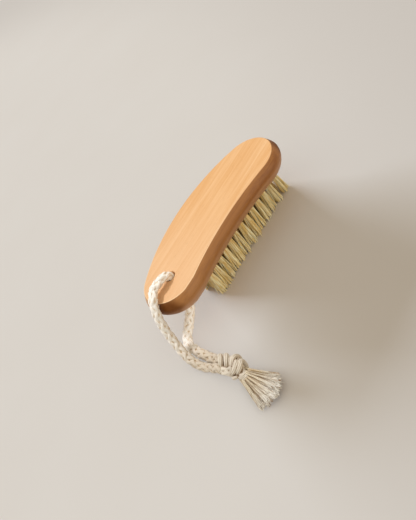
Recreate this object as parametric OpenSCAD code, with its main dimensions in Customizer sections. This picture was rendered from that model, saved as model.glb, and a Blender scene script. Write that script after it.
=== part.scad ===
// Kidney-shaped beech nail brush with plant-fibre tufts and a knotted cotton hanging cord.
// The brush stands on its bristle tips at z = 0 and its long side runs along X.
// The hollow side of the body faces -Y and the hanging hole is at the -X end.

/* [Body] */
// Length over both round ends
body_length = 100; // [92:1:112]
// Radius of each round end
end_radius = 16.4; // [15:0.2:18]
// Radius of the bulging back side
back_radius = 92; // [80:1:120]
// Radius of the hollow front side
front_radius = 155; // [130:5:220]
// Thickness of the wood
body_height = 11; // [10:0.5:14]
// How far the flat top stands in from the widest line
top_inset = 2; // [1.4:0.1:2.6]
// How far the flat underside stands in from the widest line
underside_inset = 3.8; // [3:0.1:4.6]
// Height of the widest line above the underside
widest_height = 6.8; // [6:0.1:7.6]

/* [Hanging hole] */
// Diameter of the hole for the cord
hole_diameter = 5.4; // [5.2:0.1:6.4]
// Width of the eased rim at both mouths of the hole
hole_rim = 0.5; // [0.2:0.1:0.8]

/* [Tufts] */
// Free length of the bristles below the wood
bristle_length = 16; // [12:0.5:22]
// Diameter of each drilled tuft hole
tuft_hole_diameter = 3.4; // [3:0.1:3.6]
// Depth of each drilled tuft hole
tuft_hole_depth = 7; // [5.5:0.5:8]
// Distance between the tufts of a row
tuft_pitch = 4.9; // [4.7:0.1:5.6]
// Wood between the front row and the edge of the underside at the waist
front_margin = 3.2; // [2.4:0.2:4]
// Wood between the back row and the edge of the underside at the crown
back_margin = 4.35; // [3.6:0.05:5]
// Least wood between any other tuft and the edge of the underside
edge_margin = 2.2; // [1.8:0.2:4]
// Distance from the hanging hole to the first tuft
hole_to_tufts = 12.1; // [10:0.1:16]
// Distance from the last tuft to the far end of the body
end_to_tufts = 12.4; // [10:0.1:16]
// Radial play of a tuft in its hole
tuft_play = 0.05; // [0.02:0.01:0.1]

/* [Strands] */
// Number of strands around the middle strand of a tuft
ring_strands = 7; // [5:1:7]
// Radius of a strand where it leaves the wood
strand_root_radius = 0.42; // [0.3:0.02:0.5]
// Radius of a strand at its tip
strand_tip_radius = 0.48; // [0.3:0.02:0.5]
// How far the strands stand in from the surface of the packed root
root_rim = 0.11; // [0.06:0.01:0.2]
// Least gap between the tips of two tufts
tip_gap = 0.54; // [0.3:0.02:0.8]
// Greatest sideways lean of a tuft at its tips
tuft_lean = 0.2; // [0:0.05:0.3]
// How far the strands sink into the packed root of their tuft
strand_sink = 0.5; // [0.3:0.1:1]
// Depth trimmed off the tips to cut them flat
trim_depth = 0.5; // [0.5:0.1:1]

/* [Anchors] */
// Thickness of the flat wire that holds a tuft
anchor_thickness = 0.35; // [0.3:0.05:0.5]
// Width of the flat wire, along the hole
anchor_width = 1.4; // [1:0.1:2]
// How far each end of the wire bites into the wall of the hole
anchor_bite = 0.3; // [0.2:0.05:0.4]
// Thickness of the fold of bristles between the wire and the end of the hole
fold_thickness = 1.2; // [0.8:0.1:1.6]

/* [Cord] */
// Diameter of the cotton cord
cord_diameter = 4; // [3.6:0.1:4.2]
// Radius of the middle line of each wrap of the knot
wrap_radius = 3.6; // [3.2:0.1:4]
// Distance between the wraps of the knot
wrap_pitch = 3.4; // [3:0.1:3.8]
// Thickness of a ply in the frayed ends
ply_diameter = 1.8; // [1.4:0.1:2]
// Length of the frayed ends beyond the knot
tassel_length = 15; // [12:0.5:18]
// Width across the tips of the frayed ends
tassel_spread = 13.5; // [10:0.5:16]

/* [Hidden] */
$fn = 32;

// Overrun of every cutting solid past the face that it cuts
overrun = 1;

// The four arcs of the outline, each tangent to the next
end_x = body_length / 2 - end_radius;
back_reach = sqrt(pow(back_radius - end_radius, 2) - pow(end_x, 2));
front_reach = sqrt(pow(front_radius + end_radius, 2) - pow(end_x, 2));
crown_rise = back_radius - back_reach;
end_y = (end_radius - crown_rise) / 2;
back_y = end_y - back_reach;
front_y = end_y - front_reach;
back_angle = atan2(back_reach, end_x);
front_angle = atan2(front_reach, end_x);

// Steps along each arc, so that the back and the front have as many points
end_back_steps = 8;
back_steps = 26;
end_front_steps = 13;
front_steps = 16;
side_steps = back_steps + 2 * end_back_steps;
ring_points = 2 * side_steps;

// Two arcs shape the edge, one above and one below the widest line
underside_z = bristle_length;
top_z = bristle_length + body_height;
upper_rise = body_height - widest_height;
upper_edge_radius = (pow(top_inset, 2) + pow(upper_rise, 2)) / (2 * top_inset);
lower_edge_radius = (pow(underside_inset, 2) + pow(widest_height, 2)) / (2 * underside_inset);
lower_edge_steps = 6;
upper_edge_steps = 4;

// The hanging hole is drilled at the middle of the round end
hole_x = -end_x;
hole_y = end_y;
hole_radius = hole_diameter / 2;
cord_join_z = underside_z + body_height / 2;

// Places of the tufts
row_count = 5;
tuft_hole_radius = tuft_hole_diameter / 2;
waist_y = front_y + front_radius;
crown_y = back_y + back_radius;
first_row_y = waist_y + underside_inset + front_margin + tuft_hole_radius;
last_row_y = crown_y - underside_inset - back_margin - tuft_hole_radius;
row_pitch = (last_row_y - first_row_y) / (row_count - 1);
field_start_x = hole_x + hole_to_tufts;
field_end_x = body_length / 2 - end_to_tufts;
// Play past the end of the field, so that rounding drops no tuft
field_play = 0.1;
tuft_clear = underside_inset + edge_margin + tuft_hole_radius;
tuft_top_z = underside_z + tuft_hole_depth;
anchor_z = tuft_top_z - fold_thickness - anchor_width;
anchor_length = tuft_hole_diameter + 2 * anchor_bite;

// A tuft is a packed root with a ring of strands that spreads towards its tips
root_radius = tuft_hole_radius - tuft_play;
root_sides = 12;
root_ring_radius = root_radius - root_rim - strand_root_radius;
tuft_spacing = min(tuft_pitch, norm([tuft_pitch / 2, row_pitch]));
tip_ring_radius = (tuft_spacing - tip_gap) / 2 - tuft_lean - strand_tip_radius;

// Turn of the strands and of the lean from one tuft to the next, in degrees
strand_turn = 37;
lean_turn = 101;

// Cord routes, chosen by hand: from the middle of the hole to the knot
cord_radius = cord_diameter / 2;
cord_sides = 10;
upper_points = [
    [hole_x, hole_y, cord_join_z],
    [hole_x, hole_y, 25.5],
    [-34.5, -4.5, 28.5],
    [-36.5, -5, 30.5],
    [-39.5, -5, 31],
    [-43.5, -5, 31],
    [-48, -7.5, 30],
    [-51.5, -9, 26],
    [-54.5, -10.5, 19.5],
    [-56.5, -12.5, 13.5],
    [-58.5, -16, 8.5],
    [-60, -20.5, 4.5],
    [-60, -27, 2.5],
    [-59, -34, 3.5],
    [-58.7, -38, 5.5],
    [-58.7, -41, 5.5],
];
lower_points = [
    [hole_x, hole_y, cord_join_z],
    [hole_x, hole_y, 17],
    [-35, -4.5, 13.5],
    [-39, -6, 8.5],
    [-44, -6.5, 5],
    [-49, -7.5, 3],
    [-53, -11, 2.5],
    [-54.5, -16.5, 2.5],
    [-55, -23.5, 2.5],
    [-55, -31, 2.5],
    [-54.3, -38, 5.5],
    [-54.3, -41, 5.5],
];

// The knot lies along -Y, from the face where both strands enter it
knot_x = -56.5;
knot_face_y = -41;
knot_z = wrap_radius + cord_radius;
knot_wraps = 3;
// Tilt of the wraps, in degrees
wrap_tilt = 12;
first_wrap = cord_radius + wrap_radius * sin(wrap_tilt);
knot_length = (knot_wraps - 1) * wrap_pitch + 2 * first_wrap;
// Share of the cord's radius by which the core passes the middle line of the wraps
core_share = 0.4;
knot_core_radius = wrap_radius + core_share * cord_radius;

// Plies of the frayed ends: the lower layer lies on the surface
ply_radius = ply_diameter / 2;
lower_plies = 7;
upper_plies = 5;
ply_sides = 6;
ply_lift = ply_radius / 8;
ply_heights = [ply_radius + ply_lift, ply_diameter + ply_radius + ply_lift];
// Share of their length that the outermost plies lose
outer_share = 0.09;
// Collar that gathers the plies at the knot
collar_length = ply_diameter;
collar_radius_share = 0.7;
collar_radius = collar_radius_share * cord_diameter;
collar_height_share = 0.8;
collar_sides = 12;
collar_z = collar_height_share * knot_z;
tassel_face_y = knot_face_y - knot_length;

// Points along an arc, from one angle to another in a number of steps, the last one left out
function arc(centre, radius, from, to, steps) =
    [for (i = [0 : steps - 1])
        let (a = from + (to - from) * i / steps)
        centre + radius * [cos(a), sin(a)]];

// Back side of the outline from the -X end to the +X end, moved in by an inset
function back_side(inset) = concat(
    arc([-end_x, end_y], end_radius - inset, 180, 180 - back_angle, end_back_steps),
    arc([0, back_y], back_radius - inset, 180 - back_angle, back_angle, back_steps),
    arc([end_x, end_y], end_radius - inset, back_angle, 0, end_back_steps)
);

// Front side of the outline from the +X end back to the -X end, moved in by an inset
function front_side(inset) = concat(
    arc([end_x, end_y], end_radius - inset, 0, front_angle - 180, end_front_steps),
    arc([0, front_y], front_radius + inset, front_angle, 180 - front_angle, front_steps),
    arc([-end_x, end_y], end_radius - inset, -front_angle, -180, end_front_steps)
);

// Edge profile as pairs of inset and height, from the underside to the top
function edge_profile() = concat(
    [for (i = [0 : lower_edge_steps - 1])
        let (drop = widest_height * (1 - i / lower_edge_steps))
        [lower_edge_radius - sqrt(pow(lower_edge_radius, 2) - pow(drop, 2)),
            underside_z + widest_height - drop]],
    [for (i = [0 : upper_edge_steps])
        let (rise = upper_rise * i / upper_edge_steps)
        [upper_edge_radius - sqrt(pow(upper_edge_radius, 2) - pow(rise, 2)),
            underside_z + widest_height + rise]]
);

// Outline ring at one step of the edge profile
function body_ring(step) =
    [for (p = concat(back_side(step[0]), front_side(step[0]))) [p[0], p[1], step[1]]];

// Solid body without its holes
module body_blank() {
    profile = edge_profile();
    last = len(profile) - 1;
    points = [for (step = profile) each body_ring(step)];
    walls = [for (k = [0 : last - 1], i = [0 : ring_points - 1])
        let (
            j = (i + 1) % ring_points,
            a = k * ring_points + i,
            b = k * ring_points + j,
            c = a + ring_points,
            d = b + ring_points
        )
        each [[a, b, c], [b, d, c]]];
    // Each cap is a strip of triangles between the back side and the front side
    strip = [for (i = [0 : side_steps - 1])
        let (p = i, q = i + 1, r = (ring_points - i) % ring_points, s = ring_points - i - 1)
        each (i == 0 ? [[p, q, s]] : i == side_steps - 1 ? [[p, q, r]] : [[p, q, s], [p, s, r]])];
    top = [for (t = strip) [for (v = t) v + last * ring_points]];
    underside = [for (t = strip) [t[2], t[1], t[0]]];
    polyhedron(points, concat(walls, top, underside));
}

// Cylinder with both mouths eased
module cord_hole() {
    translate([hole_x, hole_y, underside_z - overrun])
        cylinder(h = body_height + 2 * overrun, r = hole_radius);
    for (mouth = [[top_z, 1], [underside_z, -1]])
        translate([hole_x, hole_y, mouth[0]])
            scale([1, 1, mouth[1]])
                translate([0, 0, -hole_rim])
                    cylinder(h = 2 * hole_rim, r1 = hole_radius, r2 = hole_radius + 2 * hole_rim);
}

// Y of a row, counted from the front
function row_y(row) = first_row_y + (row - 1) * row_pitch;

// True where the wood leaves room for a tuft hole
function has_room(x, y) =
    let (past_end = abs(x) - end_x)
    norm([x, y - back_y]) <= back_radius - tuft_clear &&
    norm([x, y - front_y]) >= front_radius + underside_inset + tuft_hole_radius &&
    (past_end <= 0 || norm([past_end, y - end_y]) <= end_radius - tuft_clear);

// X of the tufts of a row; every second row stands half a pitch along
function row_xs(row) =
    let (start = field_start_x + (row % 2 == 0 ? tuft_pitch / 2 : 0))
    [for (x = [start : tuft_pitch : field_end_x + field_play]) if (has_room(x, row_y(row))) x];

// Flat wire across a tuft hole
module anchor(x, y) {
    translate([x - anchor_length / 2, y - anchor_thickness / 2, anchor_z])
        cube([anchor_length, anchor_thickness, anchor_width]);
}

// One strand, from its root in the tuft to below the trimming plane
module strand(root, tip) {
    corners = [0, 120, 240];
    top = [for (a = corners)
        [root[0] + strand_root_radius * cos(a), root[1] + strand_root_radius * sin(a),
            underside_z + strand_sink]];
    bottom = [for (a = corners)
        [tip[0] + strand_tip_radius * cos(a), tip[1] + strand_tip_radius * sin(a), -trim_depth]];
    polyhedron(concat(bottom, top), [
        [0, 1, 2], [5, 4, 3],
        [0, 3, 1], [3, 4, 1], [1, 4, 2], [4, 5, 2], [2, 5, 0], [5, 3, 0],
    ]);
}

// Packed root in its hole, with the strands that come out of it, trimmed flat at the tips
module tuft(x, y, count) {
    lean = tuft_lean * [cos(lean_turn * count), sin(lean_turn * count)];
    difference() {
        union() {
            translate([x, y, underside_z])
                cylinder(h = tuft_hole_depth, r = root_radius, $fn = root_sides);
            strand([x, y], [x, y] + lean);
            for (i = [0 : ring_strands - 1])
                let (a = strand_turn * count + 360 * i / ring_strands, way = [cos(a), sin(a)])
                strand([x, y] + root_ring_radius * way, [x, y] + lean + tip_ring_radius * way);
        }
        anchor(x, y);
        translate([x - tuft_pitch, y - tuft_pitch, -trim_depth - overrun])
            cube([2 * tuft_pitch, 2 * tuft_pitch, trim_depth + overrun]);
    }
}

module tuft_row(row) {
    xs = row_xs(row);
    color([0.93, 0.86, 0.62])
        for (i = [0 : len(xs) - 1])
            tuft(xs[i], row_y(row), i + row * side_steps);
}

module anchor_row(row) {
    color([0.72, 0.7, 0.66])
        for (x = row_xs(row))
            anchor(x, row_y(row));
}

module wooden_body() {
    color([0.9, 0.72, 0.5])
        difference() {
            body_blank();
            cord_hole();
            for (row = [1 : row_count])
                for (x = row_xs(row)) {
                    translate([x, row_y(row), underside_z - overrun])
                        cylinder(h = tuft_hole_depth + overrun, r = tuft_hole_radius);
                    anchor(x, row_y(row));
                }
        }
}

function unit(v) = v / norm(v);

// Direction of a route at one of its points
function heading(route, i) =
    unit(route[min(i + 1, len(route) - 1)] - route[max(i - 1, 0)]);

// Sideways directions along a route, each turned as little as possible from the one before
function sideways(route, i = 0, last = [1, 0, 0]) =
    i == len(route) ? [] :
    let (t = heading(route, i), s = unit(last - (last * t) * t))
    concat([s], sideways(route, i + 1, s));

// Round tube along a route, with one ring at each of its points
module cord_tube(route) {
    side = sideways(route);
    count = len(route);
    points = [for (i = [0 : count - 1])
        let (t = heading(route, i), s = side[i], u = cross(t, s))
        for (k = [0 : cord_sides - 1])
            let (a = 360 * k / cord_sides)
            route[i] + cord_radius * (cos(a) * s + sin(a) * u)];
    walls = [for (i = [0 : count - 2], k = [0 : cord_sides - 1])
        let (
            m = (k + 1) % cord_sides,
            a = i * cord_sides + k,
            b = i * cord_sides + m,
            c = a + cord_sides,
            d = b + cord_sides
        )
        each [[a, c, b], [b, c, d]]];
    start = [for (k = [1 : cord_sides - 2]) [0, k, k + 1]];
    first = (count - 1) * cord_sides;
    end = [for (k = [1 : cord_sides - 2]) [first, first + k + 1, first + k]];
    color([0.93, 0.9, 0.83])
        polyhedron(points, concat(walls, start, end));
}

module cord_upper_strand() {
    cord_tube(upper_points);
}

module cord_lower_strand() {
    cord_tube(lower_points);
}

// Wraps of cord round the doubled strands
module cord_knot() {
    color([0.9, 0.87, 0.8])
        translate([knot_x, knot_face_y, knot_z])
            rotate([90, 0, 0]) {
                cylinder(h = knot_length, r = knot_core_radius);
                for (w = [0 : knot_wraps - 1])
                    translate([0, 0, first_wrap + w * wrap_pitch])
                        rotate([0, w == 1 ? -wrap_tilt : wrap_tilt, 0])
                            rotate_extrude()
                                translate([wrap_radius, 0])
                                    circle(r = cord_radius);
            }
}

// Straight ply between two points
module ply(from, to) {
    way = to - from;
    translate(from)
        rotate([0, acos(way[2] / norm(way)), atan2(way[1], way[0])])
            cylinder(h = norm(way), r = ply_radius, $fn = ply_sides);
}

// Frayed ends that fan out from the knot and lie on the surface
module cord_tassel() {
    root = [knot_x, tassel_face_y - collar_length / 2, collar_z];
    color([0.95, 0.92, 0.85]) {
        translate([knot_x, tassel_face_y, collar_z])
            rotate([90, 0, 0])
                cylinder(h = collar_length, r = collar_radius, $fn = collar_sides);
        for (layer = [[lower_plies, ply_heights[0]], [upper_plies, ply_heights[1]]])
            for (i = [0 : layer[0] - 1])
                let (
                    side = 2 * i / (layer[0] - 1) - 1,
                    reach = tassel_length * (1 - outer_share * side * side)
                )
                ply(root + [side * collar_radius / 2, 0, 0],
                    [knot_x + side * tassel_spread / 2, tassel_face_y - reach, layer[1]]);
    }
}

wooden_body();
tuft_row(1);  // tuft_row_1
tuft_row(2);  // tuft_row_2
tuft_row(3);  // tuft_row_3
tuft_row(4);  // tuft_row_4
tuft_row(5);  // tuft_row_5
anchor_row(1);  // anchor_row_1
anchor_row(2);  // anchor_row_2
anchor_row(3);  // anchor_row_3
anchor_row(4);  // anchor_row_4
anchor_row(5);  // anchor_row_5
cord_upper_strand();
cord_lower_strand();
cord_knot();
cord_tassel();
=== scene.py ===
"""Kidney-shaped beech nail brush with plant-fibre tufts and a knotted cotton hanging cord.

The brush stands on its bristle tips at z = 0, its long side along X, in the frame of its solids.
"""

import math

import bpy
import numpy as np
from mathutils import Matrix, Vector
from mathutils.geometry import tessellate_polygon

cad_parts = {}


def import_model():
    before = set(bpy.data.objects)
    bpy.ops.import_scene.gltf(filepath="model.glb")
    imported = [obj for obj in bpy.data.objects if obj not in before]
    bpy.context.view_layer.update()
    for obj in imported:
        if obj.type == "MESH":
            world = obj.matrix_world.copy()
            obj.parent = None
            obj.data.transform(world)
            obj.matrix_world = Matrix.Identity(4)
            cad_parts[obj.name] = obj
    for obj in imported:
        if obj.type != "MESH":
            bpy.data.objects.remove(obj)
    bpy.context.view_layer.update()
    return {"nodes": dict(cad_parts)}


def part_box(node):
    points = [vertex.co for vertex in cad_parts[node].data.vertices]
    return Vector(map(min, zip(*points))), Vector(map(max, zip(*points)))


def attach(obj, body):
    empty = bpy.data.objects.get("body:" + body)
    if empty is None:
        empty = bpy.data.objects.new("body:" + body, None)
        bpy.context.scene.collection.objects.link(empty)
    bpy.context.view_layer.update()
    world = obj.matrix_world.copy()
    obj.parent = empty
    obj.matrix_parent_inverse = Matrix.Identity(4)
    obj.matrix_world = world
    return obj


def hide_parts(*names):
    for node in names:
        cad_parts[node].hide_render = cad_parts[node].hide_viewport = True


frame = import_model()

MM = 0.001

# Painted light falloff: the floor keeps one tone up to the first distance from its pale side, and
# fades darker up to the second
FLOOR_PALE_SIDE = (-348 * MM, 393 * MM, 0)
FLOOR_FADE = (514 * MM, 690 * MM)
# How far the floor goes each way
FLOOR_REACH = 3

# Way to the brightest part of the room, above and in front
GLOW_WAY = (0.05, -0.45, 0.89)

# Way to which the cord's side with painted shade faces, down and towards the right
SHADED_SIDE_WAY = (0.55, -0.35, -0.76)

# Camera: where it stands, which way it faces and how it is turned about its own axis
CAMERA_PLACE = (-102 * MM, -233.5 * MM, 203.3 * MM)
CAMERA_AZIMUTH = math.radians(-20.72)
CAMERA_ELEVATION = math.radians(37.75)
CAMERA_ROLL = math.radians(-44.57)
CAMERA_LENS = 46.06
CAMERA_SENSOR = 36

# Wooden body, where its box doesn't give the size
END_RADIUS = 16.4 * MM
BACK_RADIUS = 92 * MM
FRONT_RADIUS = 155 * MM
TOP_INSET = 2 * MM
UNDERSIDE_INSET = 3.8 * MM
WIDEST_HEIGHT = 6.8 * MM
TOP_ROUNDNESS = 1.4
UNDERSIDE_ROUNDNESS = 2.2
ARRIS = 0.3 * MM
HOLE_RADIUS = 2.7 * MM
HOLE_RIM = 0.5 * MM
HOLE_SIDES = 48
EDGE_STEPS = 14
SOFT_CORNER_STEPS = 5
# Angle in degrees from which an edge stays sharp
WOOD_CREASE = 35
BRISTLE_CREASE = 50

# Tufts
ROWS = range(1, 6)
TUFT_PITCH = 4.9 * MM
TUFT_HOLE_RADIUS = 1.7 * MM
TUFT_HOLE_DEPTH = 7 * MM
TUFT_HOLE_SIDES = 20
ANCHOR_LENGTH = 4 * MM
BRISTLES_PER_TUFT = 96
LOCKS_PER_TUFT = 9
BRISTLE_RADIUS = 0.175 * MM
BRISTLE_TAPER = 0.85
BRISTLE_STEPS = 7
BRISTLE_BOW = 0.12 * MM
# How far up in its hole each bristle starts, and how far above the floor the shortest one ends
BRISTLE_START = 3 * MM
CUT_UNEVENNESS = 2 * MM
# How far the tips lean along X in the middle of a row, fan out at its ends and across the rows
TUFT_LEAN = 1.9 * MM
END_SPLAY = 0.9 * MM
ROW_SPLAY = 0.4 * MM
TUFT_WANDER = 0.22 * MM
LOCK_WANDER = 0.09
# Share of the tips that stray from their lock, how far these stray and how far the others do
STRAY_SHARE = 0.18
STRAY_WANDER = 0.65 * MM
TIP_WANDER = 0.13 * MM
# Spread of a tuft at its root and at its tips, in the outer rows and in the rows between them
OUTER_SPREAD = (0.6 * MM, 2.75 * MM)
INNER_SPREAD = (1.6 * MM, 2.8 * MM)

# Cotton cord: eight yarns, four wound each way, over and under in turn
CORD_DIAMETER = 4 * MM
BRAID_RADIUS = 1.2 * MM
BRAID_PITCH = 23 * MM
BRAID_LIFT = 0.26 * MM
BRAID_WANDER = 0.14
BRAID_WANDER_LENGTH = 2.3 * MM
CORE_RADIUS = 1.34 * MM
ROUTE_SPACING = 0.4 * MM
STEPS_BETWEEN_STOPS = 24
# Its yarns, each of twisted plies that show as lobes
YARN_WIDTH = 0.86 * MM
YARN_THICKNESS = 0.66 * MM
YARN_PLIES = 3
YARN_LOBE = 0.1
YARN_LAY = 4.2 * MM
# Stray fibres, none of which comes nearer to the floor than their clearance
FUZZ_HAIRS = 260
FUZZ_RADIUS = 0.035 * MM
FUZZ_REACH = (0.5 * MM, 1.6 * MM)
FUZZ_CLEARANCE = 0.1 * MM
# Width up to which a gap between yarns is darkened with painted shade
CREASE_SHADE_REACH = 1.4 * MM
# Where along Y, in millimetres, the cotton goes from its pale colour to the darker colour it has
# towards the knot
CORD_KNOT_SPAN = (-7, -26)
TASSEL_KNOT_SPAN = (-71, -57)

# Routes of the two strands, from the middle of the hanging hole to the knot, in millimetres
UPPER_ROUTE = [
    (-33.6, -3.94, 21.5),
    (-33.6, -3.94, 25.5),
    (-34.5, -4.5, 28.5),
    (-36.5, -5, 30.5),
    (-39.5, -5, 31),
    (-43.5, -5, 31),
    (-48, -7.5, 30),
    (-51.5, -9, 26),
    (-54.5, -10.5, 19.5),
    (-56.5, -12.5, 13.5),
    (-58.5, -16, 8.5),
    (-60, -20.5, 4.5),
    (-60, -27, 2.5),
    (-59, -34, 3.5),
    (-58.7, -38, 5.5),
    (-58.7, -41, 5.5),
]
LOWER_ROUTE = [
    (-33.6, -3.94, 21.5),
    (-33.6, -3.94, 17),
    (-35, -4.5, 13.5),
    (-39, -6, 8.5),
    (-44, -6.5, 5),
    (-49, -7.5, 3),
    (-53, -11, 2.5),
    (-54.5, -16.5, 2.5),
    (-55, -23.5, 2.5),
    (-55, -31, 2.5),
    (-54.3, -38, 5.5),
    (-54.3, -41, 5.5),
]

# Loops of the knot as the camera sees them, in millimetres and degrees from its middle: right, up
# and near, tilt to the right, half the height, width and depth, and the radius of the cord
KNOT_MIDDLE = (-56.5, -47, 4.9)
KNOT_LOOPS = [
    (-6.3, 2.7, -6, -5, 2.3, 0.1, 2.6, 1.15),
    (-3.9, 2.9, -4.6, -2, 2.4, 0.1, 2.7, 1.25),
    (-2, 2.5, -2.9, -6, 1.9, 0.1, 1.6, 1.2),
    (0.3, 2.6, -0.4, -16, 3.1, -1.9, 2.2, 1.1),
    (1.2, 2.2, -0.6, -16, 1.5, -0.4, 0.8, 1.5),
    (2.7, 1.4, 2, -22, 2.7, -1.3, 1.4, 1.05),
    (2.4, 0.6, 2.2, -22, 1.6, -0.2, 0.6, 1.3),
    (-0.8, 1.6, 2.6, 17, 2.2, 0.1, 1.8, 1.15),
    (0.9, 1.7, 3, 17, 2.2, 0.1, 1.8, 1.15),
    (-2.8, 0.3, 2.6, 20, 1, 0.6, 0.6, 0.8),
    (2.5, -1.2, 4, 45, 1.4, 0.1, 1.4, 1.05),
    (3.6, -1.7, 4.6, 45, 1.3, 0.1, 1.2, 1.05),
    (-0.5, -2.2, 3.4, 65, 0.8, 0.1, 0.8, 0.8),
]
LOOP_STEPS = 72
YARNS_PER_LOOP = 8
LOOP_PITCH = 45 * MM
# Width of a loop's yarns against their thickness, and its core against its own radius
LOOP_YARN_WIDTH = 1.15
LOOP_CORE = 0.72
# The doubled cord inside the knot, in millimetres, and how thick it is against its own size
KNOT_CORE_SWELL = 0.95
KNOT_CORES = [
    [(-58.7, -40, 5.5), (-58.5, -44, 5.4), (-57.5, -48, 5.2), (-57, -52.5, 5)],
    [(-54.3, -40, 5.5), (-54.8, -44, 5.4), (-55.8, -48, 5.2), (-56.6, -52.5, 5)],
]

# Tassel, in millimetres: where it leaves the knot, and the middle of its cut end
TASSEL_ROOT = (-56.8, -51.6, 5)
TASSEL_MIDDLE = (-58.8, -68.8, 2.5)
TASSEL_ROOT_RADIUS = 1.2
# Share of a lock's way off the middle that it has at the root
TASSEL_FLARE = 0.2
# How far past the tip of its lock each ply ends, and how far it bends up or down on the way
TASSEL_CUT = (-1, 0.6)
PLY_BEND = 0.8
PLY_STEPS = 22
PLY_FIBRES = 20
# Share of the plies that are golden on one side, as painted shade between the plies
GOLDEN_PLIES = 0.6
FIBRE_RADIUS = 0.09 * MM
# Its locks: tip of each, its number of plies and how wide it opens. The last fills the fan below
TASSEL_LOCKS = [
    ((-65.2, -66.8, 1.6), 9, 1.5),
    ((-62.4, -69.2, 2.8), 8, 1.4),
    ((-59.4, -70.4, 3), 8, 1.3),
    ((-56.4, -70.2, 3.2), 7, 1.3),
    ((-53.8, -69.2, 3.4), 7, 1.3),
    ((-51.8, -67.2, 3), 7, 1.2),
    ((-58.8, -68.3, 1), 16, 6.2),
]

body_low, body_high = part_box("wooden_body")
body_length = body_high.x - body_low.x
underside_z, top_z = body_low.z, body_high.z

# The four arcs of the outline, each tangent to the next
end_x = body_length / 2 - END_RADIUS
back_reach = math.sqrt((BACK_RADIUS - END_RADIUS) ** 2 - end_x**2)
front_reach = math.sqrt((FRONT_RADIUS + END_RADIUS) ** 2 - end_x**2)
back_y = body_high.y - BACK_RADIUS
end_y = back_y + back_reach
front_y = end_y - front_reach
back_angle = math.atan2(back_reach, end_x)
front_angle = math.atan2(front_reach, end_x)
hole_centre = np.array((-end_x, end_y))


def srgb(red, green, blue):
    """Colour as a shader takes it, from its 0 to 255 values on a screen."""
    shares = [value / 255 for value in (red, green, blue)]
    return (*[s / 12.92 if s < 0.04045 else ((s + 0.055) / 1.055) ** 2.4 for s in shares], 1)


class Signal:
    """An output of a node, on which shader maths is written as a Python expression."""

    def __init__(self, nodes, socket):
        self.nodes = nodes
        self.socket = socket

    def math(self, operation, *values):
        return self.nodes.node("ShaderNodeMath", {"operation": operation}, values)

    def __add__(self, other):
        return self.math("ADD", self, other)

    def __radd__(self, other):
        return self.math("ADD", other, self)

    def __sub__(self, other):
        return self.math("SUBTRACT", self, other)

    def __rsub__(self, other):
        return self.math("SUBTRACT", other, self)

    def __mul__(self, other):
        return self.math("MULTIPLY", self, other)

    def __rmul__(self, other):
        return self.math("MULTIPLY", other, self)

    def __pow__(self, other):
        return self.math("POWER", self, other)

    def sine(self):
        return self.math("SINE", self)

    def above(self, least):
        return self.math("MAXIMUM", self, least)

    def rise(self, low, high):
        """Smooth rise from 0 to 1 as the signal goes from low to high."""
        return self.nodes.node(
            "ShaderNodeMapRange",
            {"interpolation_type": "SMOOTHSTEP"},
            {"Value": self, "From Min": low, "From Max": high},
        )


class Nodes:
    """The nodes of a material or of the world."""

    def __init__(self, owner):
        owner.use_nodes = True
        self.tree = owner.node_tree

    def node(self, kind, settings=None, values=(), output=0):
        made = self.tree.nodes.new(kind)
        for name, setting in (settings or {}).items():
            setattr(made, name, setting)
        for key, value in values.items() if isinstance(values, dict) else enumerate(values):
            self.feed(made.inputs[key], value)
        return Signal(self, made.outputs[output]) if made.outputs else None

    def part(self, vector, axis):
        """One of the three numbers of a vector."""
        return self.node("ShaderNodeSeparateXYZ", values=(vector,), output=axis)

    def compare(self, operation, first, second):
        """Number that Vector Math makes of two vectors, such as their distance."""
        return self.node(
            "ShaderNodeVectorMath", {"operation": operation}, (first, second), "Value"
        )

    def blend(self, share, first, second):
        """Colour that goes from the first to the second as the share goes from 0 to 1."""
        return self.node("ShaderNodeMix", {"data_type": "RGBA"}, {0: share, 6: first, 7: second}, 2)

    def feed(self, socket, value):
        if isinstance(value, Signal):
            self.tree.links.new(value.socket, socket)
        else:
            socket.default_value = value


class Finish(Nodes):
    """A procedural material with one Principled shader."""

    def __init__(self, name, fixed):
        self.material = bpy.data.materials.new(name)
        super().__init__(self.material)
        self.shader = self.tree.nodes["Principled BSDF"]
        for socket, value in fixed.items():
            self.set(socket, value)

    def set(self, socket, value):
        self.feed(self.shader.inputs[socket], value)

    def place(self, grain_x, grain_y, grain_z):
        """Place on the piece, in grains of the given sizes."""
        coordinates = self.node("ShaderNodeTexCoord", output="Object")
        scale = (1 / grain_x, 1 / grain_y, 1 / grain_z)
        return self.node("ShaderNodeVectorMath", {"operation": "MULTIPLY"}, (coordinates, scale))

    def noise(self, place, detail=2, distortion=0):
        values = {"Vector": place, "Scale": 1, "Detail": detail, "Distortion": distortion}
        return self.node("ShaderNodeTexNoise", values=values)

    def relief(self, height, depth):
        """Bump of the given depth from a height of 0 to 1."""
        values = {"Strength": 1, "Distance": depth, "Height": height}
        self.set("Normal", self.node("ShaderNodeBump", values=values, output="Normal"))


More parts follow.
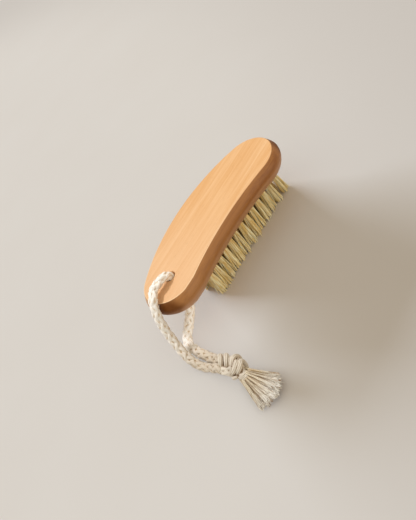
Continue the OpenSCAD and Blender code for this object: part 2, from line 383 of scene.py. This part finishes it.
def beech_finish():
    """Satin-lacquered beech with its grain along X."""
    wood = Finish("beech", {"Coat Roughness": 0.42, "Specular IOR Level": 0.2})
    boards = wood.noise(wood.place(70 * MM, 6 * MM, 6 * MM), distortion=0.6)
    streaks = wood.noise(wood.place(38 * MM, 1.1 * MM, 1.1 * MM), detail=3)
    lines = wood.noise(wood.place(14 * MM, 0.32 * MM, 0.32 * MM))
    flecks = wood.noise(wood.place(2.2 * MM, 0.16 * MM, 0.4 * MM), detail=1).rise(0.66, 0.78)
    tone = (boards * 0.8 + streaks * 0.9 + lines * 0.5 - 0.6).rise(0.2, 0.8)
    colour = wood.blend(tone, srgb(219, 167, 109), srgb(230, 187, 138))
    towards_hole = wood.part(wood.place(MM, MM, MM), "X").rise(20, -40)
    colour = wood.blend(towards_hole * 0.5, colour, srgb(230, 190, 150))
    facing = wood.node("ShaderNodeNewGeometry", output="Normal")
    along, across, level = (wood.part(facing, axis) for axis in "XYZ")
    from_hole = wood.compare("DISTANCE", wood.place(MM, MM, 1), (*hole_centre / MM, 0))
    # Painted shade: the sides, except in the hanging hole, are darker than the flat faces, the back
    # that faces the light less so, and the end grain is darkest, partly its own darker colour and
    # partly painted shade
    from_light = 1 - across.rise(-0.15, 0.5) * 0.7
    painted_shade_sides = (1 - (level**2).rise(0.2, 0.8)) * from_hole.rise(2.9, 3.6) * from_light
    end_grain_and_shade = (along**2).rise(0.2, 0.5) * from_light
    shaded_side_colour = wood.blend(tone, srgb(144, 86, 30), srgb(168, 108, 44))
    # Painted sheen: the shaded sides are paler towards the hanging end
    shaded_side_colour = wood.blend(towards_hole * (0.3 - end_grain_and_shade * 0.3), shaded_side_colour, srgb(196, 142, 86))
    shaded_side_colour = wood.blend(end_grain_and_shade * 0.85, shaded_side_colour, srgb(104, 56, 10))
    colour = wood.blend(painted_shade_sides, colour, shaded_side_colour)
    # Painted highlight on the arris round the hanging end, and a painted sheen on the turn towards
    # the underside
    painted_arris_highlight = level.rise(0.76, 0.88) - level.rise(0.94, 0.99)
    colour = wood.blend(painted_arris_highlight * towards_hole * from_hole.rise(8, 12), colour, srgb(255, 228, 184))
    turned_under = 0 - level
    painted_underside_sheen = turned_under.rise(0.05, 0.3) - turned_under.rise(0.5, 0.8)
    colour = wood.blend(flecks * 0.35, colour, srgb(150, 92, 46))
    colour = wood.blend(painted_underside_sheen * (1 - end_grain_and_shade * 0.5) * 0.4, colour, srgb(200, 152, 112))
    wood.set("Base Color", colour)
    wood.set("Roughness", 0.6 - lines * 0.1 + flecks * 0.1)
    wood.set("Coat Weight", (painted_shade_sides * 0.6 - end_grain_and_shade * 0.6).above(0))
    wood.relief(lines * 0.5 + streaks * 0.3 - flecks * 0.4, 0.03 * MM)
    return wood.material


def bristle_finish():
    """Pale plant fibre, cream at the cut tips, golden towards the roots and in the inner rows as
    painted shade, with a random golden tone per fibre.
    """
    fibre = Finish("plant_fibre", {"Sheen Weight": 0.2})
    where = fibre.node("ShaderNodeUVMap", output="UV")
    shade = fibre.part(where, "X") * 2 - 0.5
    strands = fibre.noise(fibre.place(0.7 * MM, 0.7 * MM, 16 * MM))
    speckle = fibre.noise(fibre.place(0.2 * MM, 0.2 * MM, 2.5 * MM), detail=1)
    height = fibre.part(fibre.place(MM, MM, underside_z), "Z")
    pale = fibre.blend(strands.rise(0.36, 0.64), srgb(228, 202, 128), srgb(244, 240, 208))
    golden = fibre.blend(strands.rise(0.36, 0.64), srgb(216, 166, 70), srgb(240, 207, 116))
    colour = fibre.blend(height.rise(0.3, 1) * 0.2 + shade.above(0) * 0.9, pale, golden)
    fibre.set("Base Color", colour)
    fibre.set("Roughness", 0.38 + speckle * 0.2)
    fibre.relief(speckle, 0.02 * MM)
    return fibre.material


def cotton_finish(name, pale, deep, near_knot_colour, knot_span):
    """Unbleached cotton yarn: fine fibres wound round each ply, pale outside and deep between, the
    deep colour being painted shade between the yarns.

    The knot span is where along Y, in millimetres, the yarn goes from its pale colour to the darker
    colour near the knot.
    """
    cotton = Finish(name, {"Sheen Weight": 0.2, "Sheen Roughness": 0.5})
    where = cotton.node("ShaderNodeUVMap", output="UV")
    around, along = cotton.part(where, "X"), cotton.part(where, "Y")
    wander = cotton.noise(cotton.place(0.9 * MM, 0.9 * MM, 0.9 * MM))
    fibres = ((around * 9 + along * 1.3 + wander * 1.4) * math.tau).sine() * 0.5 + 0.5
    fluff = cotton.noise(cotton.place(0.16 * MM, 0.16 * MM, 0.16 * MM), detail=3)
    outer = (around * math.tau).sine() * 0.5 + 0.5
    tone = (outer * 0.75 + wander * 0.3 + fibres * 0.12 + fluff * 0.2).rise(0.45, 1)
    towards_knot = cotton.part(cotton.place(MM, MM, MM), "Y").rise(*knot_span)
    facing = cotton.node("ShaderNodeNewGeometry", output="Normal")
    painted_shade_side = cotton.compare("DOT_PRODUCT", facing, SHADED_SIDE_WAY).rise(-0.1, 0.9)
    # Painted shade in the creases between yarns, strongest towards the knot
    crease_shade = 1 - cotton.node(
        "ShaderNodeAmbientOcclusion", {"only_local": True}, {"Distance": CREASE_SHADE_REACH}, "AO"
    )
    patches = cotton.noise(cotton.place(3 * MM, 3 * MM, 3 * MM)).rise(0.42, 0.6)
    # Painted shade: the deep colour on the inner side of each yarn, mixed with the pale one in
    # random patches
    colour = cotton.blend(tone, cotton.blend(patches * 0.5, deep, pale), pale)
    # The cotton is darker towards the knot
    colour = cotton.blend(towards_knot * 0.65, colour, near_knot_colour)
    colour = cotton.blend(crease_shade.rise(0.22, 0.75) * towards_knot * 0.95, colour, srgb(156, 114, 60))
    # Painted shade on the side of the cotton that faces down and to the right
    colour = cotton.blend(painted_shade_side * 0.55, colour, srgb(202, 166, 112))
    cotton.set("Base Color", colour)
    cotton.set("Roughness", 0.8 + fluff * 0.15)
    cotton.relief(fibres * 0.6 + fluff * 0.4, 0.06 * MM)
    return cotton.material


def wire_finish():
    """Drawn flat steel wire with lengthwise die marks."""
    wire = Finish("drawn_wire", {"Metallic": 1})
    marks = wire.noise(wire.place(3 * MM, 0.05 * MM, 0.08 * MM))
    wire.set("Base Color", wire.blend(marks, srgb(158, 152, 142), srgb(204, 200, 192)))
    wire.set("Roughness", 0.3 + marks * 0.2)
    wire.relief(marks, 0.01 * MM)
    return wire.material


def floor_finish():
    """Plain pale surface, matt, with a faint unevenness, and a painted falloff of light that makes
    it a little darker on one side.
    """
    floor = Finish("pale_floor", {"Specular IOR Level": 0})
    cloud = floor.noise(floor.place(60 * MM, 60 * MM, 60 * MM), detail=3)
    painted_falloff = floor.compare("DISTANCE", floor.place(1, 1, 1), FLOOR_PALE_SIDE).rise(*FLOOR_FADE)
    near = floor.blend(cloud, srgb(214, 207, 199), srgb(217, 211, 204))
    floor.set("Base Color", floor.blend(painted_falloff, near, srgb(201, 194, 187)))
    floor.set("Roughness", 0.85 + cloud * 0.1)
    return floor.material


class Mesh:
    """Points and faces of one piece, gathered until the piece is made."""

    def __init__(self):
        self.points = []
        self.faces = []
        self.uvs = []
        self.count = 0

    def add(self, points):
        """Adds points, none of them under the floor, and gives their numbers."""
        first = self.count
        self.points.append(np.array(points, float).reshape(-1, 3))
        self.points[-1][:, 2] = np.maximum(self.points[-1][:, 2], 0)
        self.count += len(self.points[-1])
        return np.arange(first, self.count)

    def strip(self, ring, following):
        """Quads between two closed rings of point numbers."""
        self.faces += np.stack(
            [ring, np.roll(ring, -1), np.roll(following, -1), following], -1
        ).tolist()

    def tube(self, centres, across, over, lengths, winding=(0.0, 1.0)):
        """Closed tube. Each ring lies round its centre, its shape given by across and over.

        Its map has the winding first, from where it starts to where it ends, and then the lengths.
        """
        rings, painted_shade_sides = across.shape[0], across.shape[1]
        numbers = self.add(centres[:, None] + across + over).reshape(rings, painted_shade_sides)
        for ring, following in zip(numbers, numbers[1:]):
            self.strip(ring, following)
        self.faces += [numbers[0][::-1].tolist(), numbers[-1].tolist()]
        turn = np.linspace(*winding, painted_shade_sides + 1)
        for low, high in zip(lengths, lengths[1:]):
            for left, right in zip(turn, turn[1:]):
                self.uvs += [left, low, right, low, right, high, left, high]
        self.uvs += [0.0, 0.0] * 2 * painted_shade_sides

    def cap(self, contours, facing):
        """Flat face between closed rings of point numbers: the outline first, then its holes."""
        points = np.concatenate(self.points)
        numbers = np.concatenate(contours)
        rings = [[Vector(points[n]) for n in contour] for contour in contours]
        for triangle in tessellate_polygon(rings):
            a, b, c = (points[numbers[i]] for i in triangle)
            upward = np.cross(b - a, c - a)[2] > 0
            corners = triangle if upward == (facing > 0) else triangle[::-1]
            self.faces.append([int(numbers[i]) for i in corners])

    def piece(self, name, finish, crease=None, groups=()):
        """The finished piece, on its body and in its groups for light."""
        mesh = bpy.data.meshes.new(name)
        mesh.from_pydata(np.concatenate(self.points).tolist(), [], self.faces)
        if self.uvs:
            mesh.uv_layers.new(name="winding").data.foreach_set("uv", self.uvs)
        mesh.shade_smooth()
        if crease is not None:
            mesh.set_sharp_from_angle(angle=math.radians(crease))
        mesh.materials.append(finish)
        made = bpy.data.objects.new(name, mesh)
        for owner in ("brush", *groups):
            group(owner).objects.link(made)
        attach(made, "root")
        return made


def group(name):
    """Collection of the given name, made when it is first asked for."""
    if name not in bpy.data.collections:
        bpy.context.scene.collection.children.link(bpy.data.collections.new(name))
    return bpy.data.collections[name]


def smooth_route(route, spacing):
    """Evenly spaced points on the smooth curve through a route's points."""
    stops = np.array(route, float)
    stops = np.vstack([2 * stops[0] - stops[1], stops, 2 * stops[-1] - stops[-2]])
    t = np.linspace(0, 1, STEPS_BETWEEN_STOPS, endpoint=False)[:, None]
    stretches = []
    for a, b, c, d in zip(stops, stops[1:], stops[2:], stops[3:]):
        bend = (2 * b) + (c - a) * t + (2 * a - 5 * b + 4 * c - d) * t**2
        stretches.append((bend + (3 * b - a - 3 * c + d) * t**3) / 2)
    curve = np.vstack([*stretches, stops[-2]])
    run = run_along(curve)
    even = np.linspace(0, run[-1], round(run[-1] / spacing) + 1)
    return np.stack([np.interp(even, run, curve[:, axis]) for axis in range(3)], -1)


def unit(vectors):
    """The vectors at length 1."""
    return vectors / np.linalg.norm(vectors, axis=-1, keepdims=True)


def run_along(path):
    """How far along a path each of its points lies."""
    return np.concatenate([[0], np.cumsum(np.linalg.norm(np.diff(path, axis=0), axis=1))])


def length_of(path):
    """How long a path is."""
    return float(run_along(path)[-1])


def carried_sides(path):
    """Two sideways directions along a path, each turned as little as possible from the last."""
    headings = unit(np.gradient(path, axis=0))
    side = np.cross(headings[0], (0.3, 0.9, 0.2))
    painted_shade_sides = []
    for heading in headings:
        side = unit(side - heading * (side @ heading))
        painted_shade_sides.append(side)
    painted_shade_sides = np.array(painted_shade_sides)
    return painted_shade_sides, np.cross(headings, painted_shade_sides)


def yarn(mesh, path, flat, width, thickness, painted_shade_sides=12):
    """Twisted yarn along a path; its thin way points along flat, and it is lobed by its plies."""
    headings = unit(np.gradient(path, axis=0))
    over = unit(flat - headings * (flat * headings).sum(-1, keepdims=True))
    across = np.cross(over, headings)
    run = run_along(path)
    angle = np.linspace(0, math.tau, painted_shade_sides, endpoint=False)[None, :]
    lobe = 1 + YARN_LOBE * np.cos(YARN_PLIES * angle - math.tau * run[:, None] / YARN_LAY)
    mesh.tube(
        path,
        (lobe * np.cos(angle) * width)[..., None] * across[:, None],
        (lobe * np.sin(angle) * thickness)[..., None] * over[:, None],
        run / MM,
    )


def bundle(mesh, path, radius):
    """Strained cord round a path: its yarns lie side by side, almost straight."""
    side, up = carried_sides(path)
    run = run_along(path)
    touching = math.sin(math.pi / YARNS_PER_LOOP)
    thickness = radius * touching / (1 + touching)
    for number in range(YARNS_PER_LOOP):
        angle = math.tau * (number / YARNS_PER_LOOP + run / LOOP_PITCH)
        outward = np.cos(angle)[:, None] * side + np.sin(angle)[:, None] * up
        centres = path + (radius - thickness) * outward
        yarn(mesh, centres, outward, thickness * LOOP_YARN_WIDTH, thickness, painted_shade_sides=8)
    core = radius * LOOP_CORE
    yarn(mesh, path, side, core, core)


def braid(mesh, path, swell):
    """Eight-yarn braid round a path, with a straight core yarn, its thickness times the swell."""
    side, up = carried_sides(path)
    run = run_along(path)
    for way in (1, -1):
        for carrier in range(4):
            wander = BRAID_WANDER * np.sin(run / BRAID_WANDER_LENGTH + 2.1 * carrier + way)
            angle = way * math.tau * run / BRAID_PITCH + carrier * math.tau / 4 + wander
            lift = way * BRAID_LIFT * np.cos(math.tau * 4 * run / BRAID_PITCH)
            outward = np.cos(angle)[:, None] * side + np.sin(angle)[:, None] * up
            centres = path + swell * (BRAID_RADIUS + lift)[:, None] * outward
            yarn(mesh, centres, outward, swell * YARN_WIDTH, swell * YARN_THICKNESS)
    core = swell * CORE_RADIUS
    yarn(mesh, path, side, core, core)


def fuzz(mesh, rng, path, radius):
    """Stray fibres that stand off a cord."""
    side, up = carried_sides(path)
    headings = unit(np.gradient(path, axis=0))
    for _ in range(FUZZ_HAIRS):
        at = int(rng.integers(1, len(path) - 1))
        angle = rng.uniform(0, math.tau)
        outward = math.cos(angle) * side[at] + math.sin(angle) * up[at]
        sweep = unit(headings[at] * rng.choice([-1, 1]) + rng.normal(0, 0.35, 3))
        reach = rng.uniform(*FUZZ_REACH)
        t = np.linspace(0, 1, 5)[:, None]
        hair = path[at] + outward * radius * 0.85
        hair = hair + outward * reach * 0.55 * t + sweep * reach * t**2
        if hair[:, 2].min() > FUZZ_CLEARANCE:
            filament(mesh, hair, FUZZ_RADIUS, painted_shade_sides=3)


def filament(mesh, path, radius, painted_shade_sides=4, tip_share=1.0, shade=0.0):
    """Thin round fibre along a path, darker as its shade goes from 0 to 1."""
    headings = unit(np.gradient(path, axis=0))
    aside = (0.21, 0.43, 0.87) if abs(headings[0][2]) < 0.8 else (1, 0, 0)
    across = unit(np.cross(headings, aside))
    over = np.cross(headings, across)
    angle = np.linspace(0, math.tau, painted_shade_sides, endpoint=False)[None, :, None]
    radii = (radius * np.linspace(1, tip_share, len(path)))[:, None, None]
    lengths = np.linspace(0, length_of(path) / MM, len(path))
    mesh.tube(
        path,
        radii * np.cos(angle) * across[:, None],
        radii * np.sin(angle) * over[:, None],
        lengths,
        winding=(0.2 + shade / 2, 0.3 + shade / 2),
    )


def way_to(azimuth, elevation):
    """Unit vector to what stands at an azimuth, from the front towards +X, and at an elevation."""
    level = math.cos(elevation)
    return Vector((math.sin(azimuth) * level, -math.cos(azimuth) * level, math.sin(elevation)))


def turned_to(way):
    """Turn of a camera or lamp that stands on the given way and looks back along it."""
    return way.to_track_quat("Z", "Y").to_matrix()


def camera_facing():
    """How the camera is turned: its right, up and backward ways are the columns."""
    back = way_to(CAMERA_AZIMUTH, CAMERA_ELEVATION)
    return turned_to(back) @ Matrix.Rotation(CAMERA_ROLL, 3, "Z")


def camera():
    """Camera at the photograph's place and angle."""
    data = bpy.data.cameras.new("camera")
    data.sensor_width = CAMERA_SENSOR
    data.lens = CAMERA_LENS
    made = bpy.data.objects.new("camera", data)
    made.matrix_world = Matrix.Translation(CAMERA_PLACE) @ camera_facing().to_4x4()
    bpy.context.scene.collection.objects.link(made)
    bpy.context.scene.camera = made


def hanging_cord(cotton, tied, frayed):
    """Knot and tassel, and the two strands that leave the hanging hole and run to the knot."""
    knot, tassel = cord_knot(tied), cord_tassel(frayed)
    rng = np.random.default_rng(5)
    # Name, route, thickness against its own size, mouth of the hole, and groups for light
    strands = (
        ("upper_strand", UPPER_ROUTE, 1.04, top_z, ()),
        ("lower_strand", LOWER_ROUTE, 1.14, underside_z, ("underneath",)),
    )
    for name, route, swell, mouth_z, groups in strands:
        path = smooth_route(route, ROUTE_SPACING / MM) * MM
        mesh = Mesh()
        braid(mesh, path, swell)
        fuzz(mesh, rng, path, swell * CORD_DIAMETER / 2)
        strand = mesh.piece(name, cotton, groups=groups)
        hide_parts("cord_" + name)


def cord_knot(cotton):
    """Overhand knot of the doubled cord: its loops, round the two strands inside it."""
    right, up, near = (np.array(way) for way in camera_facing().transposed())
    mesh = Mesh()
    angle = np.linspace(-math.pi / 2, math.pi * 3 / 2, LOOP_STEPS + 1)[:, None]
    for over, high, close, tilt, height, width, depth, radius in KNOT_LOOPS:
        tilt = math.radians(tilt)
        upright = math.cos(tilt) * up + math.sin(tilt) * right
        sideways = math.cos(tilt) * right - math.sin(tilt) * up
        middle = np.array(KNOT_MIDDLE) + over * right + high * up + close * near
        loop = middle + np.cos(angle) * height * upright
        loop = (loop + np.sin(angle) * (width * sideways + depth * near)) * MM
        loop[:, 2] = np.maximum(loop[:, 2], radius * MM)
        bundle(mesh, loop, radius * MM)
    for core in KNOT_CORES:
        braid(mesh, smooth_route(core, ROUTE_SPACING / MM) * MM, KNOT_CORE_SWELL)
    knot = mesh.piece("knot", cotton, groups=("casters",))
    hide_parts("cord_knot")
    return knot


def cord_tassel(cotton):
    """Frayed ends that fan out beyond the knot in locks."""
    rng = np.random.default_rng(11)
    root, middle = np.array(TASSEL_ROOT) * MM, np.array(TASSEL_MIDDLE) * MM
    t = np.linspace(0, 1, PLY_STEPS)[:, None]
    mesh = Mesh()
    for tip, plies, opening in TASSEL_LOCKS:
        tip = np.array(tip) * MM
        start = root + TASSEL_FLARE * (tip - middle)
        heading = unit(tip - start)
        sideways = unit(np.cross(heading, (0, 0, 1)))
        for place in disc(plies, rng.uniform(0, math.tau)):
            spread = place[0] * sideways + place[1] * np.array((0, 0, 0.6))
            across = sideways * place[0] + np.array((0, 0, place[1]))
            begin = start + across * TASSEL_ROOT_RADIUS * MM
            end = tip + spread * opening * MM + heading * rng.uniform(*TASSEL_CUT) * MM
            line = begin + (end - begin) * t
            line[:, 2] += PLY_BEND * MM * np.sin(math.pi * t[:, 0]) * rng.uniform(-1, 1)
            ply(mesh, rng, line)
    tassel = mesh.piece("tassel", cotton)
    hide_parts("cord_tassel")
    return tassel


def ply(mesh, rng, line):
    """Untwisted ply along a line: fine fibres that loosen and part towards its end.

    In a golden ply, the fibres on one side are of the deep colour, as painted shade between the
    plies.
    """
    side, up = carried_sides(line)
    t = np.linspace(0, 1, len(line))
    turn = rng.uniform(0, math.tau) + rng.uniform(1, 4) * t
    golden = rng.uniform() < GOLDEN_PLIES
    for place in disc(PLY_FIBRES):
        radius, angle = np.hypot(*place), math.atan2(place[1], place[0]) + turn
        spread = (0.4 + 0.4 * t**2) * radius * MM
        wave = 0.1 * MM * t * np.sin(21 * t + rng.uniform(0, math.tau))
        path = line + (spread * np.cos(angle) + wave)[:, None] * side
        path = path + (spread * np.sin(angle) * 0.8)[:, None] * up
        path[:, 2] = np.maximum(path[:, 2], FIBRE_RADIUS)
        # Painted shade: the fibres on one side of a golden ply are deep
        shade = 0.85 if golden and place[0] > 0.45 else 0.4 * rng.uniform() ** 3
        steps = int(rng.integers(PLY_STEPS - 4, PLY_STEPS + 1))
        filament(mesh, path[:steps], FIBRE_RADIUS, shade=shade)


def arc(centre, radius, start, end, steps):
    """Points along an arc, the last one left out."""
    angle = np.linspace(start, end, steps, endpoint=False)
    return np.stack([centre[0] + radius * np.cos(angle), centre[1] + radius * np.sin(angle)], -1)


def outline(inset):
    """Outline of the body, moved in by an inset, counter-clockwise."""
    half = math.pi
    return np.vstack(
        [
            arc((end_x, end_y), END_RADIUS - inset, 0, back_angle, 20),
            arc((0, back_y), BACK_RADIUS - inset, back_angle, half - back_angle, 60),
            arc((-end_x, end_y), END_RADIUS - inset, half - back_angle, half + front_angle, 44),
            arc((0, front_y), FRONT_RADIUS + inset, half - front_angle, front_angle, 40),
            arc((end_x, end_y), END_RADIUS - inset, front_angle - half, 0, 28),
        ]
    )


def eased(start, corner, end):
    """Points of a soft corner from start to end, both left out."""
    t = np.linspace(0, 1, SOFT_CORNER_STEPS + 2)[1:-1, None]
    start, corner, end = map(np.array, (start, corner, end))
    return (1 - t) ** 2 * start + 2 * t * (1 - t) * corner + t**2 * end


def edge_profile():
    """Edge of the body as pairs of inset and height, from the underside to the top."""
    widest_z = underside_z + WIDEST_HEIGHT
    profile = []
    for inset, height, way, roundness in (
        (UNDERSIDE_INSET, WIDEST_HEIGHT, -1, UNDERSIDE_ROUNDNESS),
        (TOP_INSET, top_z - widest_z, 1, TOP_ROUNDNESS),
    ):
        share = np.linspace(0, 1, EDGE_STEPS)
        side = np.stack([inset * share**roundness, widest_z + way * height * share], -1)
        corner, edge = side[-1], side[-1] + (ARRIS, 0)
        start = side[-1] + ARRIS * unit(side[-2] - side[-1])
        side = np.vstack([side[:-1], start, eased(start, corner, edge), edge, edge + (ARRIS, 0)])
        profile.append(side)
    below, above = profile
    return np.vstack([below[:0:-1], above])


def ring_at(centre, radius, z, painted_shade_sides):
    """Level ring of points round a centre."""
    angle = np.linspace(0, math.tau, painted_shade_sides, endpoint=False)
    return np.stack(
        [centre[0] + radius * np.cos(angle), centre[1] + radius * np.sin(angle), 0 * angle + z], -1
    )


def tuft_places(row):
    """Middle of each tuft of a row, from the row's anchors."""
    low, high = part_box(f"anchor_row_{row}")
    start, end = low.x + ANCHOR_LENGTH / 2, high.x - ANCHOR_LENGTH / 2
    xs = np.linspace(start, end, round((end - start) / TUFT_PITCH) + 1)
    return [(x, (low.y + high.y) / 2) for x in xs]


def wooden_body(beech):
    """Body with its hanging hole, eased at both mouths, and its blind tuft holes."""
    mesh = Mesh()
    rings = []
    for inset, z in edge_profile():
        flat = outline(inset)
        rings.append(mesh.add(np.column_stack([flat, np.full(len(flat), z)])))
    for ring, following in zip(rings, rings[1:]):
        mesh.strip(ring, following)

    rim = HOLE_RADIUS + HOLE_RIM
    mouth = eased((rim, 0), (HOLE_RADIUS, 0), (HOLE_RADIUS, -HOLE_RIM))
    mouth = np.vstack([(rim + HOLE_RIM, 0), (rim, 0), mouth, (HOLE_RADIUS, -HOLE_RIM)])
    bore = [(radius, top_z + drop) for radius, drop in mouth]
    bore += [(radius, underside_z - drop) for radius, drop in mouth[::-1]]
    bore = [mesh.add(ring_at(hole_centre, radius, z, HOLE_SIDES)) for radius, z in bore]
    for ring, following in zip(bore, bore[1:]):
        mesh.strip(following, ring)

    mouths = []
    for place in [place for row in ROWS for place in tuft_places(row)]:
        mouth, bottom = (
            mesh.add(ring_at(place, TUFT_HOLE_RADIUS, z, TUFT_HOLE_SIDES))
            for z in (underside_z, underside_z + TUFT_HOLE_DEPTH)
        )
        mesh.strip(bottom, mouth)
        mesh.faces.append(bottom[::-1].tolist())
        mouths.append(mouth)

    mesh.cap([rings[-1], bore[0]], 1)
    mesh.cap([rings[0], bore[-1], *mouths], -1)
    body = mesh.piece("beech_body", beech, WOOD_CREASE, ("casters",))
    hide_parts("wooden_body")


def bristle_rows(fibre):
    """Bundles of trimmed fibres, each fibre a little bent."""
    rng = np.random.default_rng(3)
    for row in ROWS:
        places = tuft_places(row)
        outer = row in (ROWS[0], ROWS[-1])
        mesh = Mesh()
        for number, place in enumerate(places):
            splay = 2 * number / (len(places) - 1) - 1
            lean = rng.normal(0, TUFT_WANDER, 2)
            lean[0] += END_SPLAY * splay**5 - TUFT_LEAN * (1 - splay**4)
            lean[1] += ROW_SPLAY * (row - 3)
            tuft(mesh, rng, np.array(place), lean, outer)
        groups = ("casters", "underneath") if outer else ("casters", "underneath", "inner_rows")
        bundles = mesh.piece(f"bristles_row_{row}", fibre, BRISTLE_CREASE, groups)
        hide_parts(f"tuft_row_{row}")


def disc(count, spin=0.0):
    """Evenly spread places on a disc of radius 1, as seeds in a sunflower."""
    number = np.arange(count) + 0.5
    angle = number * math.pi * (3 - math.sqrt(5)) + spin
    return np.sqrt(number / count)[:, None] * np.stack([np.cos(angle), np.sin(angle)], -1)


def tuft(mesh, rng, place, lean, outer):
    """One bundle. Its fibres fan out from the hole and draw together in locks at their tips."""
    spin = rng.uniform(0, math.tau)
    root_spread, tip_spread = OUTER_SPREAD if outer else INNER_SPREAD
    locks = disc(LOCKS_PER_TUFT, spin) + rng.normal(0, LOCK_WANDER, (LOCKS_PER_TUFT, 2))
    t = np.linspace(0, 1, BRISTLE_STEPS)[:, None]
    for start in disc(BRISTLES_PER_TUFT, spin):
        lock = locks[np.argmin(np.linalg.norm(locks - start, axis=1))]
        root = place + start * root_spread
        tip = place + lean + (0.5 * start + 0.5 * lock) * tip_spread
        wander = STRAY_WANDER if rng.uniform() < STRAY_SHARE else TIP_WANDER
        tip = tip + rng.normal(0, wander, 2)
        bow = rng.normal(0, BRISTLE_BOW, 2)
        flat = root + (tip - root) * t + bow * np.sin(math.pi * t)
        tip_z = CUT_UNEVENNESS * rng.uniform() ** 2
        z = (underside_z + BRISTLE_START) * (1 - t) + tip_z * t
        radius = BRISTLE_RADIUS * rng.uniform(0.85, 1.15)
        # Painted shade: the inner rows are more golden, and each fibre's tone also varies at random
        shade = (0 if outer else 0.3) + 0.5 * rng.uniform() ** 2
        filament(mesh, np.hstack([flat, z]), radius, tip_share=BRISTLE_TAPER, shade=shade)


def anchors(wire):
    """The anchors keep their solids, in drawn wire."""
    for row in ROWS:
        node = frame["nodes"][f"anchor_row_{row}"]
        node.data.materials.clear()
        node.data.materials.append(wire)


def floor(finish):
    """Level square that goes far past the view."""
    corners = [(-1, -1, 0), (1, -1, 0), (1, 1, 0), (-1, 1, 0)]
    data = bpy.data.meshes.new("floor")
    data.from_pydata([Vector(corner) * FLOOR_REACH for corner in corners], [], [(0, 1, 2, 3)])
    data.materials.append(finish)
    made = bpy.data.objects.new("floor", data)
    group("stage").objects.link(made)


def window(name, azimuth, elevation, distance, size, share, lit, casters=None):
    """Area lamp that lights a level surface of one group with the given share of each colour.

    Where a group of casters is named, only what is in it casts a shadow from the lamp.
    """
    azimuth, elevation = math.radians(azimuth), math.radians(elevation)
    way = way_to(azimuth, elevation)
    data = bpy.data.lights.new(name, "AREA")
    data.shape = "RECTANGLE"
    data.size, data.size_y = size
    brightest = max(share)
    data.color = [part / brightest for part in share]
    data.energy = brightest * (math.pi * distance) ** 2 / math.sin(elevation)
    made = bpy.data.objects.new(name, data)
    made.matrix_world = Matrix.Translation(way * distance) @ turned_to(way).to_4x4()
    made.light_linking.receiver_collection = group(lit)
    if casters:
        made.light_linking.blocker_collection = group(casters)
    bpy.context.scene.collection.objects.link(made)


def world(even, glow, backdrop):
    """Even light and a glow from above and in front; the backdrop itself is pale."""
    data = bpy.data.worlds.new("room")
    bpy.context.scene.world = data
    room = Nodes(data)
    room.tree.nodes.clear()
    kinds = ("Is Camera Ray", "Is Glossy Ray", "Is Transmission Ray")
    camera_ray, glossy_ray, through_ray = (
        room.node("ShaderNodeLightPath", output=kind) for kind in kinds
    )
    seen = (camera_ray + glossy_ray + through_ray).rise(0, 1)
    way = room.node("ShaderNodeTexCoord", output="Generated")
    upward = room.compare("DOT_PRODUCT", way, GLOW_WAY)
    tint = room.blend(upward.above(0), even, glow)
    light = room.node("ShaderNodeBackground", values=(tint, 1))
    wall = room.node("ShaderNodeBackground", values=(backdrop, 1))
    mixed = room.node("ShaderNodeMixShader", values=(seen, light, wall))
    room.node("ShaderNodeOutputWorld", values=(mixed,))


camera()
hanging_cord(
    cotton_finish(
        "cotton", srgb(255, 252, 246), srgb(232, 206, 164), srgb(180, 160, 126), CORD_KNOT_SPAN
    ),
    cotton_finish(
        "tied_cotton", srgb(246, 240, 226), srgb(124, 88, 44), srgb(214, 204, 186), CORD_KNOT_SPAN
    ),
    cotton_finish(
        "frayed_cotton", srgb(255, 254, 246), srgb(150, 96, 26), srgb(222, 206, 164), TASSEL_KNOT_SPAN
    ),
)
wooden_body(beech_finish())
bristle_rows(bristle_finish())
anchors(wire_finish())
floor(floor_finish())
# Lamps: azimuth and elevation in degrees, distance, size, share of each colour, lit group, casters
window("low_window", 176, 13, 20, (12.5, 3.5), (0.38, 0.44, 0.52), "stage", "casters")
window("high_window", 178, 71, 3, (0.5, 0.4), (0.52, 0.52, 0.55), "brush")
window("front_window", 10, 15, 3, (1.6, 1.2), (0.028, 0.027, 0.025), "brush")
window("side_window", 25, 8, 3, (1.2, 0.8), (0.03, 0.029, 0.027), "underneath")
window("through_fibres", 10, 20, 3, (1, 1), (0.19, 0.145, 0.08), "inner_rows", "nothing")
world((0.58, 0.52, 0.42, 1), (0.72, 0.66, 0.57, 1), srgb(216, 209, 199))
bpy.context.scene.view_settings.view_transform = "Standard"
